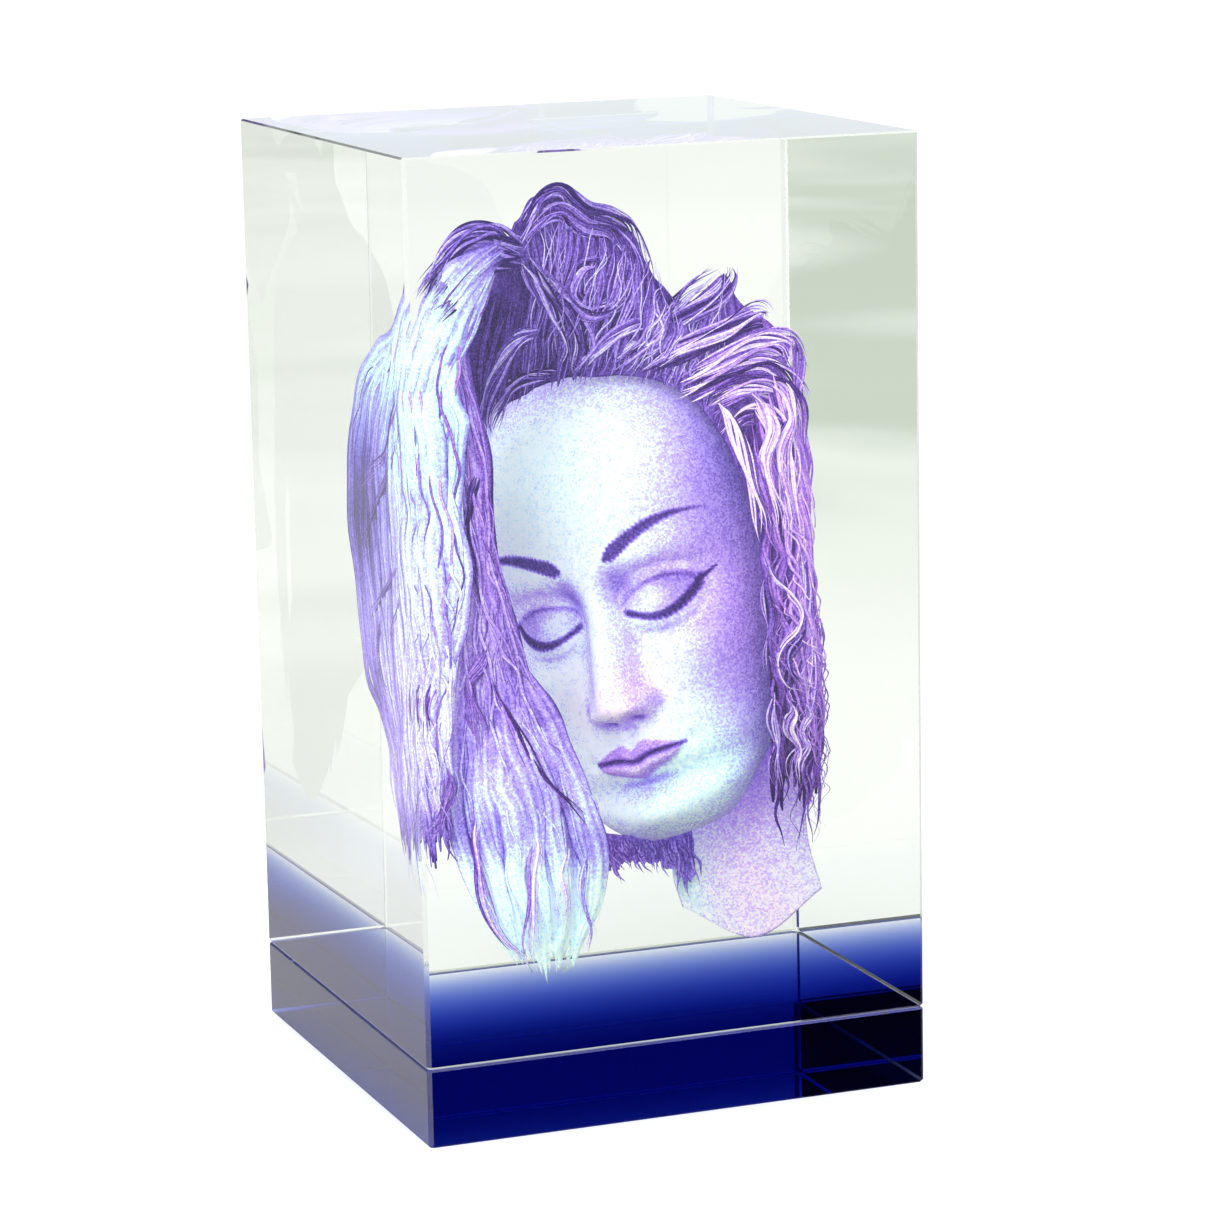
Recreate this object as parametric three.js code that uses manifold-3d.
// Engraved crystal ornament: a clear block bonded onto a thin blue crystal base, with a portrait
// bust engraved inside the clear block. Millimetres, +Z up, origin at the centre of the underside,
// front face towards -Y.
import * as THREE from 'three';
import Module from 'manifold-3d';
import { mergeVertices } from 'three/addons/utils/BufferGeometryUtils.js';

const wasm = await Module();
wasm.setup();

// Crystal body
const BLOCK_WIDTH = 60;
const BLOCK_DEPTH = 60;
const BLOCK_HEIGHT = 100;
const BASE_THICKNESS = 8.9;
const BOND_THICKNESS = 0.1;
const UPRIGHT_BEVEL = 0.45;
const RIM_BEVEL = 0.22;

// Engraving: thin skins of burnt points, each in a pocket of its own form in the clear block
const SKIN_THICKNESS = 0.8;
const SKIN_CLEARANCE = 0.3;
const LEAST_GLASS = 2;
const VENT_DIAMETER = 0.6;
const VENT_SIDES = 6;
const OFFSET_SMOOTHING = 2;

// Head: millimetres in a face unit, degrees turned, tilted and bowed, and where the point between
// the eyes lies from the middle of the block
const FACE_UNIT = 0.88;
const HEAD_TURN = 35;
const HEAD_TILT = 14;
const HEAD_BOW = 6;
const HEAD_PLACE = [-5, -14, -3];

// Face in face units. Each curve is a list of [height above the eye line, value]: half the width of
// the face, the depth of its side, how far its middle stands forward, and the nose's ridge and half
// width. The sides roll back from the middle up to these angles, the left one under the hair.
const HAIRLINE = 32;
const CHIN = -31.5;
const LEFT_ANGLE = 58;
const RIGHT_ANGLE = 80;
const SIDE_ROLL = 1.12;
const HALF_WIDTH = [[-31.5, 6.5], [-30, 8.9], [-27, 12], [-23, 14.9], [-16, 17.6], [-8, 19.4], [0, 20.1],
  [8, 20.2], [16, 19.6], [24, 17.6], [32, 14]];
const SIDE_DEPTH = [[-31.5, 8], [-27, 12], [-20, 16], [-10, 18], [0, 19], [10, 20], [24, 18], [32, 14]];
const MIDLINE = [[-31.5, -3], [-30.4, -1.4], [-28.5, 0.1], [-26.5, 0.5], [-23.6, -0.6], [-20, 0.3],
  [-15, 0.2], [-8, -0.2], [0, -0.4], [4, 0.5], [8, 1.1], [13, 1], [18, -0.4], [24, -3.6], [32, -10]];
const NOSE_RIDGE = [[-17, 0], [-14.5, 1.4], [-12.8, 6.3], [-11.6, 7.5], [-10.2, 7.4], [-8, 6.4], [-4, 4.6],
  [0, 2.9], [5, 1.2], [11, 0]];
const NOSE_HALF = [[-17, 3], [-12, 3.1], [-9, 2.9], [-4, 2.3], [0, 2], [4, 2.4], [11, 5]];
const NOSE_SQUARENESS = 2.3;

// Eyelid over an eyeball, lips, and the softer forms. The forms are mounds and hollows of
// [place across, height, spread across, spread up, rise], and those with a place across are in pairs.
const EYE_SIDE = 8.3;
const EYE_HALF_WIDTH = 5.2;
const EYE_HALF_HEIGHT = 4.4;
const EYEBALL_FRONT = -2.1;
const EYEBALL_DEPTH = 5.5;
const LID_BLEND = 0.8;
const MOUTH_HEIGHT = -19.4;
const MOUTH_HALF = 6.6;
const UPPER_LIP = { above: 1.2, spread: 1.1, rise: 1.1 };
const LOWER_LIP = { above: -1.5, spread: 1.3, rise: 1.4 };
const LIP_PARTING = { above: 0, spread: 0.5, rise: -0.8 };
const NOSTRIL_WING = [3.35, -12.3, 1.35, 1.75, 2.4];
const BROW_RIDGE = [7.5, 5.6, 5.2, 2, 0.75];
const EYE_SOCKET = [EYE_SIDE, 0.9, 4.9, 3.3, -2.7];
const INNER_CORNER = [4.4, 1.2, 1.8, 2.6, -1.1];
const CHEEKBONE = [11.2, -7.5, 5.2, 4.6, 1.5];
const TEMPLE = [17, 6.5, 3.2, 6, -1];
const CHEEK_HOLLOW = [10, -17, 4.5, 4.5, -0.7];
const MUZZLE = [0, -18.8, 6.2, 4.6, 1.5];
const CHIN_PAD = [0, -27.6, 4.6, 2.6, 1.5];
const CHIN_CREASE = [0, -23.7, 4.2, 1.2, -0.75];
const FACE_FORMS = [NOSTRIL_WING, BROW_RIDGE, EYE_SOCKET, INNER_CORNER, CHEEKBONE, TEMPLE, CHEEK_HOLLOW,
  MUZZLE, CHIN_PAD, CHIN_CREASE];
// Features fade out on the side of the face, where they would be seen edge on
const FEATURE_FADE = 1.6;

// Hair: each sheet is a net of points chosen by hand, [x, y, z] from the middle of the block.
// A guide runs from the root to the tip and the guides of a sheet lie side by side, left to right.
const CURTAIN_GUIDES = [
  [[-17.5, -24.5, 41], [-26.5, -27.5, 37.5], [-27.8, -21, 30], [-28, -9, 22], [-28, -6.5, 7],
    [-28, -10, -6.5], [-28, -17, -15], [-27.8, -20, -23], [-27.6, -22.6, -29.5]],
  [[-17, -24, 39.5], [-23.5, -27, 34.5], [-27, -25.5, 27], [-27.6, -23.5, 17.5], [-27.8, -23.5, 5],
    [-28, -24, -6.5], [-28, -24, -16], [-27.8, -24, -24], [-27, -24.4, -31.5]],
  [[-17.8, -23.5, 39.6], [-21.3, -25, 31.7], [-23.8, -26.3, 24.8], [-23.6, -26.8, 18.4], [-23.3, -27, 7.7],
    [-24.1, -27, -2.7], [-25.8, -26.5, -14.6], [-25.9, -26, -21.8], [-25, -25, -28.4]],
];
const SWEEP_GUIDES = [
  [[-20.9, -21.3, 33.8], [-23.8, -22.4, 28.4], [-22.9, -23.2, 18.1], [-22.6, -23.6, 7], [-23.7, -23.6, -5],
    [-25.3, -23.6, -15], [-25.1, -23.6, -23], [-22.5, -24, -33], [-17, -24, -41.5]],
  [[-19.9, -21, 34.2], [-22.9, -22.4, 28.3], [-21.9, -24.2, 17.8], [-21, -25, 6], [-19.8, -25.2, -5.2],
    [-18.3, -25.5, -15.2], [-16.9, -26.3, -23.7], [-15.7, -26.3, -34.1], [-14.5, -25, -43]],
  [[-18.9, -20.8, 34.5], [-21.9, -22.4, 28.1], [-20.5, -24.4, 17.3], [-19.6, -25, 5.9], [-16.7, -25.4, -5.3],
    [-12.6, -25.4, -14.9], [-8.1, -25, -24.7], [-8.1, -24.5, -34.1], [-11.8, -24, -42.5]],
];
const CROWN_GUIDES = [
  [[-22.3, -24, 41], [-21.2, -17.2, 31.5], [-18, -9, 17]],
  [[-19, -21.6, 42], [-17.8, -17.6, 34.5], [-16, -9, 19.5]],
  [[-14.5, -18.6, 42.2], [-13.8, -17, 34.5], [-13.3, -9.5, 21]],
  [[-12.3, -17, 44.8], [-10.8, -17, 35.5], [-10.8, -10, 22.3]],
  [[-7.5, -13.8, 44.7], [-7, -16, 34.5], [-7.5, -11, 23.3]],
  [[-2, -10, 41.6], [-2.7, -15, 33.5], [-4, -12, 23.3]],
  [[1.7, -7.5, 39.2], [1, -14.5, 31.5], [-0.5, -13, 23.3]],
  [[4.5, -6, 34.2], [4, -14, 28.5], [3.5, -13.7, 22.3]],
  [[8, -6, 31.2], [7.3, -13, 26.5], [6.5, -14, 20.5]],
  [[13, -5.5, 34], [11, -12, 26.5], [9, -14.8, 17.5]],
  [[14.6, -7, 30.8], [13.3, -12, 23], [10.8, -15.4, 14.5]],
  [[17.6, -9, 28.6], [15.3, -12.3, 20.2], [12.3, -16.1, 10.5]],
  [[20.6, -9.6, 25.8], [17.6, -11.6, 17.2], [13.9, -15.4, 7.9]],
];
const SIDE_GUIDES = [
  [[11.5, -17, 20.5], [13, -18, 11], [13.8, -18, 1.5], [14.3, -18, -8], [14.8, -17.5, -17],
    [14.6, -16.5, -26], [16, -15.5, -34]],
  [[16, -14.5, 25.5], [18.2, -15.5, 13.5], [19.4, -16.2, 1.5], [19.9, -16, -8.5], [20.2, -15.2, -17],
    [20, -14.5, -25.5], [19.2, -13.8, -35]],
  [[20.7, -12.6, 25.8], [20.9, -12.4, 13.7], [21.1, -12, 1.1], [22, -12.5, -8.9], [22.3, -12.8, -16.3],
    [22.1, -13, -24.8], [21.2, -13, -33.4]],
];
const NECK_GUIDES = [
  [[6, -6, -27], [5.5, -8, -31], [4.5, -9.5, -34.5], [5.5, -10, -38.5]],
  [[13.5, -6, -18], [13.2, -7, -27], [12, -9, -35], [14.5, -10, -43]],
  [[19.2, -10.5, -8], [20.6, -10.8, -20], [20.8, -10.8, -31], [22.5, -11, -38]],
];

// Locks side by side in a sheet: how many, crest height over a lock's width, and how far they wander
const CURTAIN_LOCKS = 2;
const SWEEP_LOCKS = 2;
const CROWN_LOCKS = 5;
const SIDE_LOCKS = 2;
const LOCK_RELIEF = 0.05;
const LOCK_WAVE = 0.12;

const glassClear = new THREE.MeshStandardMaterial({
  color: 0xe9f4f1, roughness: 0.02, metalness: 0, transparent: true, opacity: 0.35,
});
const glassBlue = new THREE.MeshStandardMaterial({ color: 0x10107a, roughness: 0.03, metalness: 0 });
const adhesive = new THREE.MeshStandardMaterial({ color: 0xcfd0ee, roughness: 0.1, metalness: 0 });
const burntPale = new THREE.MeshStandardMaterial({ color: 0xc9d4fb, roughness: 0.8, metalness: 0 });
const burntViolet = new THREE.MeshStandardMaterial({ color: 0x7a63cf, roughness: 0.8, metalness: 0 });
const burntPink = new THREE.MeshStandardMaterial({ color: 0xa98be4, roughness: 0.8, metalness: 0 });

// Boolean helpers

function solidOf(geometry) {
  const bare = geometry.clone();
  bare.deleteAttribute('normal');
  bare.deleteAttribute('uv');
  const merged = mergeVertices(bare);
  return new wasm.Manifold(new wasm.Mesh({
    numProp: 3,
    vertProperties: new Float32Array(merged.attributes.position.array),
    triVerts: new Uint32Array(merged.index.array),
  }));
}

function geometryOf(solid) {
  const mesh = solid.getMesh();
  const geometry = new THREE.BufferGeometry();
  geometry.setAttribute('position', new THREE.BufferAttribute(mesh.vertProperties, mesh.numProp));
  geometry.setIndex(new THREE.BufferAttribute(mesh.triVerts, 1));
  geometry.computeVertexNormals();
  return geometry;
}

function part(name, geometry, material) {
  const mesh = new THREE.Mesh(geometry, material);
  mesh.name = name;
  return mesh;
}

// Crystal body

// Square section with bevelled corners, inset from the block's faces.
function bevelledSquare(inset) {
  const x = BLOCK_WIDTH / 2 - inset;
  const y = BLOCK_DEPTH / 2 - inset;
  const corner = UPRIGHT_BEVEL;
  return new THREE.Shape([
    new THREE.Vector2(-x + corner, -y), new THREE.Vector2(x - corner, -y),
    new THREE.Vector2(x, -y + corner), new THREE.Vector2(x, y - corner),
    new THREE.Vector2(x - corner, y), new THREE.Vector2(-x + corner, y),
    new THREE.Vector2(-x, y - corner), new THREE.Vector2(-x, -y + corner),
  ]);
}

// Ground and polished slab, standing on z = 0, with both its rims bevelled.
function groundSlab(thickness) {
  const slab = new THREE.ExtrudeGeometry(bevelledSquare(0), {
    depth: thickness - 2 * RIM_BEVEL,
    bevelThickness: RIM_BEVEL,
    bevelSize: RIM_BEVEL,
    bevelOffset: -RIM_BEVEL,
    bevelSegments: 1,
  });
  return slab.translate(0, 0, RIM_BEVEL);
}

// Adhesive between the flat faces inside the two rims.
function bondFilm() {
  const film = new THREE.ExtrudeGeometry(bevelledSquare(RIM_BEVEL), {
    depth: BOND_THICKNESS,
    bevelEnabled: false,
  });
  return film.translate(0, 0, BASE_THICKNESS);
}

// Face

// Smooth curve through knots of [place, value], sorted by place.
function curveThrough(knots, place) {
  const last = knots.length - 1;
  const at = THREE.MathUtils.clamp(place, knots[0][0], knots[last][0]);
  let k = 0;
  while (k < last - 1 && knots[k + 1][0] < at) k += 1;
  const slope = (i) => {
    const before = knots[Math.max(i - 1, 0)];
    const after = knots[Math.min(i + 1, last)];
    return (after[1] - before[1]) / (after[0] - before[0]);
  };
  const step = knots[k + 1][0] - knots[k][0];
  const t = (at - knots[k][0]) / step;
  const stay = 2 * t ** 3 - 3 * t ** 2 + 1;
  return stay * knots[k][1] + (1 - stay) * knots[k + 1][1]
    + (t ** 3 - 2 * t ** 2 + t) * step * slope(k) + (t ** 3 - t ** 2) * step * slope(k + 1);
}

function bell(offset, spread) {
  return Math.exp(-((offset / spread) ** 2));
}

// Rise of the features over the plain oval, at x across and u above the eye line.
function featureRise(x, u) {
  const side = Math.abs(x);
  const nose = Math.exp(-((side / curveThrough(NOSE_HALF, u)) ** NOSE_SQUARENESS));
  let rise = curveThrough(NOSE_RIDGE, u) * nose;
  FACE_FORMS.forEach(([across, up, spreadAcross, spreadUp, height]) => {
    rise += height * bell(side - across, spreadAcross) * bell(u - up, spreadUp);
  });
  const mouth = Math.max(1 - (x / MOUTH_HALF) ** 2, 0);
  [UPPER_LIP, LOWER_LIP, LIP_PARTING].forEach((lip) => {
    rise += lip.rise * mouth * bell(u - MOUTH_HEIGHT - lip.above, lip.spread);
  });
  return rise;
}

// A lowered eyelid lies on the front of an eyeball, which swells softly out of its socket.
function lidForward(x, u, skin) {
  const across = (Math.abs(x) - EYE_SIDE) / EYE_HALF_WIDTH;
  const up = u / EYE_HALF_HEIGHT;
  const round = Math.sqrt(Math.max(1 - across ** 2 - up ** 2, 0));
  const ball = EYEBALL_FRONT - EYEBALL_DEPTH * (1 - round);
  return round > 0 ? (skin + ball + Math.hypot(skin - ball, LID_BLEND)) / 2 : skin;
}

function turnAbout(x, y, z, degrees) {
  const axis = new THREE.Vector3(x, y, z);
  return new THREE.Quaternion().setFromAxisAngle(axis, THREE.MathUtils.degToRad(degrees));
}

const headTurn = turnAbout(0, 0, 1, -HEAD_TURN)
  .multiply(turnAbout(0, 1, 0, -HEAD_TILT))
  .multiply(turnAbout(1, 0, 0, HEAD_BOW));

// Point of the face skin: down runs from hairline to chin, across from the left side to the right.
function facePoint(down, across) {
  const angle = THREE.MathUtils.degToRad(THREE.MathUtils.lerp(-LEFT_ANGLE, RIGHT_ANGLE, across));
  const u = THREE.MathUtils.lerp(HAIRLINE, CHIN, down);
  const x = curveThrough(HALF_WIDTH, u) * Math.sin(angle);
  const rolled = (1 - Math.cos(angle)) ** SIDE_ROLL;
  const oval = curveThrough(MIDLINE, u) - curveThrough(SIDE_DEPTH, u) * rolled;
  const fade = THREE.MathUtils.clamp(FEATURE_FADE * Math.cos(angle), 0, 1);
  const forward = lidForward(x, u, oval + fade * featureRise(x, u));
  const point = new THREE.Vector3(x, -forward, u).multiplyScalar(FACE_UNIT).applyQuaternion(headTurn);
  return point.add(new THREE.Vector3(...HEAD_PLACE));
}

// Hair and neck sheets

// Point of a sheet held by guides: along from root to tip, across from the left guide to the right.
function sheetPoint(guides, along, across) {
  const columns = guides.map((guide) => {
    const points = guide.map((point) => new THREE.Vector3(...point));
    return new THREE.CatmullRomCurve3(points, false, 'catmullrom', 0.5).getPoint(along);
  });
  return new THREE.CatmullRomCurve3(columns, false, 'catmullrom', 0.5).getPoint(across);
}

// Locks lie side by side in a sheet of hair, lower where the sheet narrows towards its tip.
function hairPoint(guides, locks, along, across) {
  const point = sheetPoint(guides, along, across);
  const width = sheetPoint(guides, along, 0).distanceTo(sheetPoint(guides, along, 1)) / locks;
  const crest = Math.cos(2 * Math.PI * (locks * across + LOCK_WAVE * Math.sin(2 * Math.PI * along)));
  point.y -= LOCK_RELIEF * width * crest * Math.sin(Math.PI * across);
  return point;
}

// Skins of the engraving, each drawn as rows by columns of cells over its point function.
const SKINS = [
  {
    name: 'engraved_face',
    pointAt: facePoint,
    rows: 28,
    columns: 18,
    material: burntPale,
  },
  {
    name: 'engraved_neck',
    pointAt: (along, across) => sheetPoint(NECK_GUIDES, along, across),
    rows: 4,
    columns: 6,
    material: burntViolet,
  },
  {
    name: 'engraved_hair_crown',
    pointAt: (along, across) => hairPoint(CROWN_GUIDES, CROWN_LOCKS, along, across),
    rows: 6,
    columns: 26,
    material: burntViolet,
  },
  {
    name: 'engraved_hair_sweep',
    pointAt: (along, across) => hairPoint(SWEEP_GUIDES, SWEEP_LOCKS, along, across),
    rows: 22,
    columns: 5,
    material: burntPale,
  },
  {
    name: 'engraved_hair_curtain',
    pointAt: (along, across) => hairPoint(CURTAIN_GUIDES, CURTAIN_LOCKS, along, across),
    rows: 22,
    columns: 8,
    material: burntPale,
  },
  {
    name: 'engraved_hair_side',
    pointAt: (along, across) => hairPoint(SIDE_GUIDES, SIDE_LOCKS, along, across),
    rows: 18,
    columns: 5,
    material: burntPink,
  },
];

// Vents join the pockets, each from a place along and across one skin to a place on the next, and
// a drain runs from the neck's pocket down to the block's underside.
const VENTS = [
  ['engraved_neck', 0.1, 0.5, 'engraved_face', 0.93, 0.65],
  ['engraved_face', 0.1, 0.5, 'engraved_hair_crown', 0.9, 0.5],
  ['engraved_face', 0.2, 0.85, 'engraved_hair_side', 0.15, 0.4],
  ['engraved_face', 0.35, 0.12, 'engraved_hair_sweep', 0.3, 0.8],
  ['engraved_hair_sweep', 0.35, 0.2, 'engraved_hair_curtain', 0.35, 0.8],
];

const engravingCentre = new THREE.Vector3(0, 0, BASE_THICKNESS + BOND_THICKNESS + BLOCK_HEIGHT / 2);

// The bust is drawn from the middle of the block, and sized so that the least glass stays over it.
function engravingScale() {
  const reach = new THREE.Vector3();
  SKINS.forEach((skin) => {
    for (let i = 0; i <= skin.rows; i += 1) {
      for (let j = 0; j <= skin.columns; j += 1) {
        const point = skin.pointAt(i / skin.rows, j / skin.columns);
        reach.max(new THREE.Vector3(Math.abs(point.x), Math.abs(point.y), Math.abs(point.z)));
      }
    }
  });
  return Math.min(
    (BLOCK_WIDTH / 2 - LEAST_GLASS) / reach.x,
    (BLOCK_DEPTH / 2 - LEAST_GLASS) / reach.y,
    (BLOCK_HEIGHT / 2 - LEAST_GLASS) / reach.z,
  );
}

const scale = engravingScale();

// Place in the block of a point of a skin's front.
function placed(skin, along, across) {
  return skin.pointAt(along, across).multiplyScalar(scale).add(engravingCentre);
}

// Closed body of a skin. Its front lies on the skin's points raised by lift, its back lies the
// skin's thickness plus lift behind them, and its edges reach out by lift too. So a lift of
// nothing gives the skin, and a lift of the clearance gives the pocket that it sits in.
function skinGeometry(skin, lift) {
  const { rows, columns } = skin;
  const at = (i, j) => i * (columns + 1) + j;
  const cells = [];
  for (let i = 0; i <= rows; i += 1) {
    for (let j = 0; j <= columns; j += 1) cells.push([i, j]);
  }
  const points = cells.map(([i, j]) => placed(skin, i / rows, j / columns));
  const near = (i, j) => points[at(
    THREE.MathUtils.clamp(i, 0, rows),
    THREE.MathUtils.clamp(j, 0, columns),
  )];
  let normals = cells.map(([i, j]) => {
    const down = near(i + 1, j).clone().sub(near(i - 1, j));
    const across = near(i, j + 1).clone().sub(near(i, j - 1));
    return down.cross(across).normalize();
  });
  for (let pass = 0; pass < OFFSET_SMOOTHING; pass += 1) {
    normals = cells.map(([i, j]) => {
      const sum = new THREE.Vector3();
      [[i, j], [i - 1, j], [i + 1, j], [i, j - 1], [i, j + 1]].forEach(([row, column]) => {
        const inRow = THREE.MathUtils.clamp(row, 0, rows);
        const inColumn = THREE.MathUtils.clamp(column, 0, columns);
        sum.add(normals[at(inRow, inColumn)]);
      });
      return sum.normalize();
    });
  }
  const spread = cells.map(([i, j], k) => {
    const out = new THREE.Vector3();
    const leave = (inner) => out.add(points[k].clone().sub(inner).normalize());
    if (i === 0) leave(near(1, j));
    if (i === rows) leave(near(rows - 1, j));
    if (j === 0) leave(near(i, 1));
    if (j === columns) leave(near(i, columns - 1));
    return points[k].clone().addScaledVector(out, lift);
  });
  const positions = [lift, -SKIN_THICKNESS - lift].flatMap((offset) => (
    spread.flatMap((point, k) => point.clone().addScaledVector(normals[k], offset).toArray())
  ));
  const back = cells.length;
  const faces = [];
  for (let i = 0; i < rows; i += 1) {
    for (let j = 0; j < columns; j += 1) {
      const [a, b, c, d] = [at(i, j), at(i + 1, j), at(i + 1, j + 1), at(i, j + 1)];
      faces.push(a, b, c, a, c, d);
      faces.push(a + back, c + back, b + back, a + back, d + back, c + back);
    }
  }
  const rim = [];
  for (let i = 0; i < rows; i += 1) rim.push(at(i, 0));
  for (let j = 0; j < columns; j += 1) rim.push(at(rows, j));
  for (let i = rows; i > 0; i -= 1) rim.push(at(i, columns));
  for (let j = columns; j > 0; j -= 1) rim.push(at(0, j));
  rim.forEach((a, k) => {
    const b = rim[(k + 1) % rim.length];
    faces.push(b, a, a + back, b, a + back, b + back);
  });
  const geometry = new THREE.BufferGeometry();
  geometry.setAttribute('position', new THREE.Float32BufferAttribute(positions, 3));
  geometry.setIndex(faces);
  geometry.computeVertexNormals();
  return geometry;
}

// Assembly

function ventGeometry(from, to) {
  const run = to.clone().sub(from);
  const vent = new THREE.CylinderGeometry(VENT_DIAMETER / 2, VENT_DIAMETER / 2, run.length(), VENT_SIDES);
  const upright = new THREE.Vector3(0, 1, 0);
  vent.applyQuaternion(new THREE.Quaternion().setFromUnitVectors(upright, run.normalize()));
  const middle = from.clone().add(to).multiplyScalar(0.5);
  return vent.translate(middle.x, middle.y, middle.z);
}

function crystalBlock() {
  const underside = BASE_THICKNESS + BOND_THICKNESS;
  let block = solidOf(groundSlab(BLOCK_HEIGHT).translate(0, 0, underside));
  SKINS.forEach((skin) => {
    block = block.subtract(solidOf(skinGeometry(skin, SKIN_CLEARANCE)));
  });
  const skinNamed = (name) => SKINS.find((skin) => skin.name === name);
  VENTS.forEach(([from, fromAlong, fromAcross, to, toAlong, toAcross]) => {
    const start = placed(skinNamed(from), fromAlong, fromAcross);
    const end = placed(skinNamed(to), toAlong, toAcross);
    block = block.subtract(solidOf(ventGeometry(start, end)));
  });
  const drainTop = placed(skinNamed('engraved_neck'), 0.5, 0.5);
  const drainEnd = new THREE.Vector3(drainTop.x, drainTop.y, underside - VENT_DIAMETER);
  block = block.subtract(solidOf(ventGeometry(drainTop, drainEnd)));
  return geometryOf(block);
}

const ornament = new THREE.Group();
ornament.add(part('base_slab', groundSlab(BASE_THICKNESS), glassBlue));
ornament.add(part('bond_film', bondFilm(), adhesive));
ornament.add(part('crystal_block', crystalBlock(), glassClear));
SKINS.forEach((skin) => ornament.add(part(skin.name, skinGeometry(skin, 0), skin.material)));

export default ornament;
